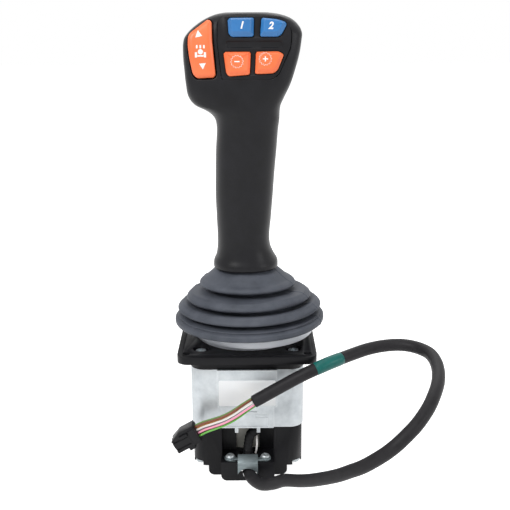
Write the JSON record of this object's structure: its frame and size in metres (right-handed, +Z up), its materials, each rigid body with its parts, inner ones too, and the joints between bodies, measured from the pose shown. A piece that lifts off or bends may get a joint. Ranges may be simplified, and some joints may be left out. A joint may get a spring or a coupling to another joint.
{
  "type": "industrial joystick",
  "caption": "Two-axis hand lever with a multifunction grip, push buttons and a rocker, rubber bellows over a square panel flange, die-cast housing and a lead with a connector.",
  "frame": {"origin": "middle of the flange's top face, at the centre of its four panel holes", "axes": "+Z up along the resting lever, +Y away from the operator, +X to the operator's right"},
  "size_m": [0.1914, 0.1935, 0.3331],
  "materials": {
    "grip_soft_black": "fine matt grain",
    "black_plastic": "satin moulded",
    "orange_plastic": "satin",
    "blue_plastic": "satin",
    "bellows_rubber": "smooth rubber",
    "light_grey_plastic": "smooth",
    "die_cast": "tumbled die casting",
    "zinc_steel": "bright zinc plated",
    "turned_steel": "turned",
    "machined_aluminium": "milled",
    "bronze": "sintered",
    "circuit_board": "solder mask",
    "magnet": "ground",
    "label_film": "matt film",
    "gasket_rubber": "matt",
    "lead_sheath": "matt sheath",
    "tape_black": "cloth tape",
    "sleeve_green": "shrink sleeve",
    "wire_white": "wire insulation",
    "wire_mixed": "wire insulation in several colours",
    "connector_plastic": "moulded"
  },
  "bodies": {
    "base": {"bearing_blocks": "machined_aluminium", "bearing_bushes": "bronze", "bearing_drums": "black_plastic", "bearing_screws": "zinc_steel", "bellows": "bellows_rubber", "bellows_collar": "light_grey_plastic", "flange_plate": "black_plastic", "flange_screws": "zinc_steel", "main_housing": "die_cast", "blank_label": "label_film", "cover_gasket": "gasket_rubber", "lower_cover": "black_plastic", "cover_screws": "zinc_steel", "sensor_carrier": "light_grey_plastic", "sensor_board": "circuit_board", "board_screws": "zinc_steel", "inner_harness": "tape_black", "harness_wire": "wire_white", "cable_clamp": "zinc_steel", "clamp_screws": "zinc_steel", "lead": "lead_sheath", "marker_sleeve": "sleeve_green", "lead_tail": "lead_sheath", "core_wires": "wire_mixed", "connector_housing": "connector_plastic", "connector_lock": "connector_plastic"},
    "gimbal": {"gimbal_ring": "machined_aluminium", "ring_pins": "turned_steel", "ring_drums": "black_plastic", "block_bushes": "bronze"},
    "lever": {"pivot_block": "machined_aluminium", "block_pins": "turned_steel", "lever_shaft": "turned_steel", "shaft_nut": "zinc_steel", "sensor_magnet": "magnet", "grip_socket": "black_plastic", "grip_front_shell": "grip_soft_black", "grip_rear_shell": "grip_soft_black", "grip_screws": "zinc_steel", "face_panel": "black_plastic", "switch_board": "circuit_board", "button_switches": "black_plastic", "rocker_pin": "turned_steel", "rocker_cradle": "black_plastic"},
    "rocker": {"rocker_cap": "orange_plastic"},
    "blue_left": {"button_blue_left": "blue_plastic"},
    "blue_right": {"button_blue_right": "blue_plastic"},
    "minus": {"button_minus": "orange_plastic"},
    "plus": {"button_plus": "orange_plastic"}
  },
  "joints": [
    {"name": "tilt_fore_aft", "type": "hinge", "parent": "base", "child": "gimbal", "pos_m": [0, 0, -0.012], "axis": [1, 0, 0], "range_deg": [-20, 20], "stiffness_Nm_per_rad": 4, "deforming": ["bellows"]},
    {"name": "tilt_sideways", "type": "hinge", "parent": "gimbal", "child": "lever", "pos_m": [0, 0, -0.012], "axis": [0, 1, 0], "range_deg": [-20, 20], "stiffness_Nm_per_rad": 4, "deforming": ["bellows"]},
    {"name": "rocker_tilt", "type": "hinge", "parent": "lever", "child": "rocker", "pos_m": [-0.029, -0.01564, 0.21034], "axis": [1, 0, 0], "range_deg": [-7, 7], "stiffness_Nm_per_rad": 0.06},
    {"name": "press_blue_left", "type": "slide", "parent": "lever", "child": "blue_left", "axis": [0, 0.9936, -0.1132], "range_m": [0, 0.002], "stiffness_N_per_m": 600, "springref_m": -0.0005},
    {"name": "press_blue_right", "type": "slide", "parent": "lever", "child": "blue_right", "axis": [0, 0.9936, -0.1132], "range_m": [0, 0.002], "stiffness_N_per_m": 600, "springref_m": -0.0005},
    {"name": "press_minus", "type": "slide", "parent": "lever", "child": "minus", "axis": [0, 0.9936, -0.1132], "range_m": [0, 0.002], "stiffness_N_per_m": 600, "springref_m": -0.0005},
    {"name": "press_plus", "type": "slide", "parent": "lever", "child": "plus", "axis": [0, 0.9936, -0.1132], "range_m": [0, 0.002], "stiffness_N_per_m": 600, "springref_m": -0.0005}
  ]
}
